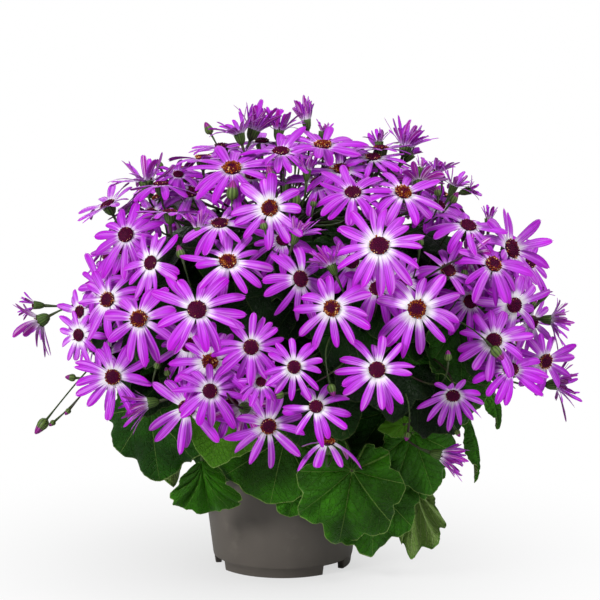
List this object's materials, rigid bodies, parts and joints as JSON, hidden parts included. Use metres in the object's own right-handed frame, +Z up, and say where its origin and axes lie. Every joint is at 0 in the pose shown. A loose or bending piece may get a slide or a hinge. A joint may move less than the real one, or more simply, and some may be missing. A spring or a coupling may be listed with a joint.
{
  "type": "florist cineraria",
  "caption": "Florist cineraria in its nursery pot: a dome of two-tone daisy heads on forking shoots above broad lobed leaves that hang over the rim.",
  "frame": {"origin": "middle of the pot's underside, on the ground", "axes": "+Z up along the pot's axis, -Y towards the plant's show side, +X to the right seen from there"},
  "size_m": [0.4033, 0.3711, 0.3449],
  "materials": {
    "pot_plastic": "satin",
    "compost": "matte",
    "stem": "satin",
    "leaf": "satin",
    "petal": "matte"
  },
  "bodies": {
    "root": {"pot": "pot_plastic", "soil": "compost", "shoot_front_left": "stem", "shoot_front_right": "stem", "shoot_right": "stem", "shoot_back_right": "stem", "shoot_back_left": "stem", "shoot_left": "stem", "shoot_middle_front": "stem", "shoot_middle_back": "stem", "flower_head_01": "petal", "flower_head_02": "petal", "flower_head_03": "petal", "flower_head_04": "petal", "flower_head_05": "petal", "flower_head_06": "petal", "flower_head_07": "petal", "flower_head_08": "petal", "flower_head_09": "petal", "flower_head_10": "petal", "flower_head_11": "petal", "flower_head_12": "petal", "flower_head_13": "petal", "flower_head_14": "petal", "flower_head_15": "petal", "flower_head_16": "petal", "flower_head_17": "petal", "flower_head_18": "petal", "flower_head_19": "petal", "flower_head_20": "petal", "flower_head_21": "petal", "flower_head_22": "petal", "flower_head_23": "petal", "flower_head_24": "petal", "flower_head_25": "petal", "flower_head_26": "petal", "flower_head_27": "petal", "flower_head_28": "petal", "flower_head_29": "petal", "flower_head_30": "petal", "flower_head_31": "petal", "flower_head_32": "petal", "half_open_head_01": "petal", "half_open_head_02": "petal", "half_open_head_03": "petal", "half_open_head_04": "petal", "leaf_front_right": "leaf", "leaf_front_middle": "leaf", "leaf_front_left": "leaf", "leaf_left_low": "leaf", "leaf_left_bright": "leaf", "leaf_under_right": "leaf", "leaf_right_middle": "leaf", "leaf_right_low": "leaf", "leaf_right_edge": "leaf", "leaf_right_inner": "leaf", "leaf_back_right": "leaf", "leaf_back_middle": "leaf", "leaf_back_left": "leaf", "leaf_left_high": "leaf"}
  },
  "joints": []
}
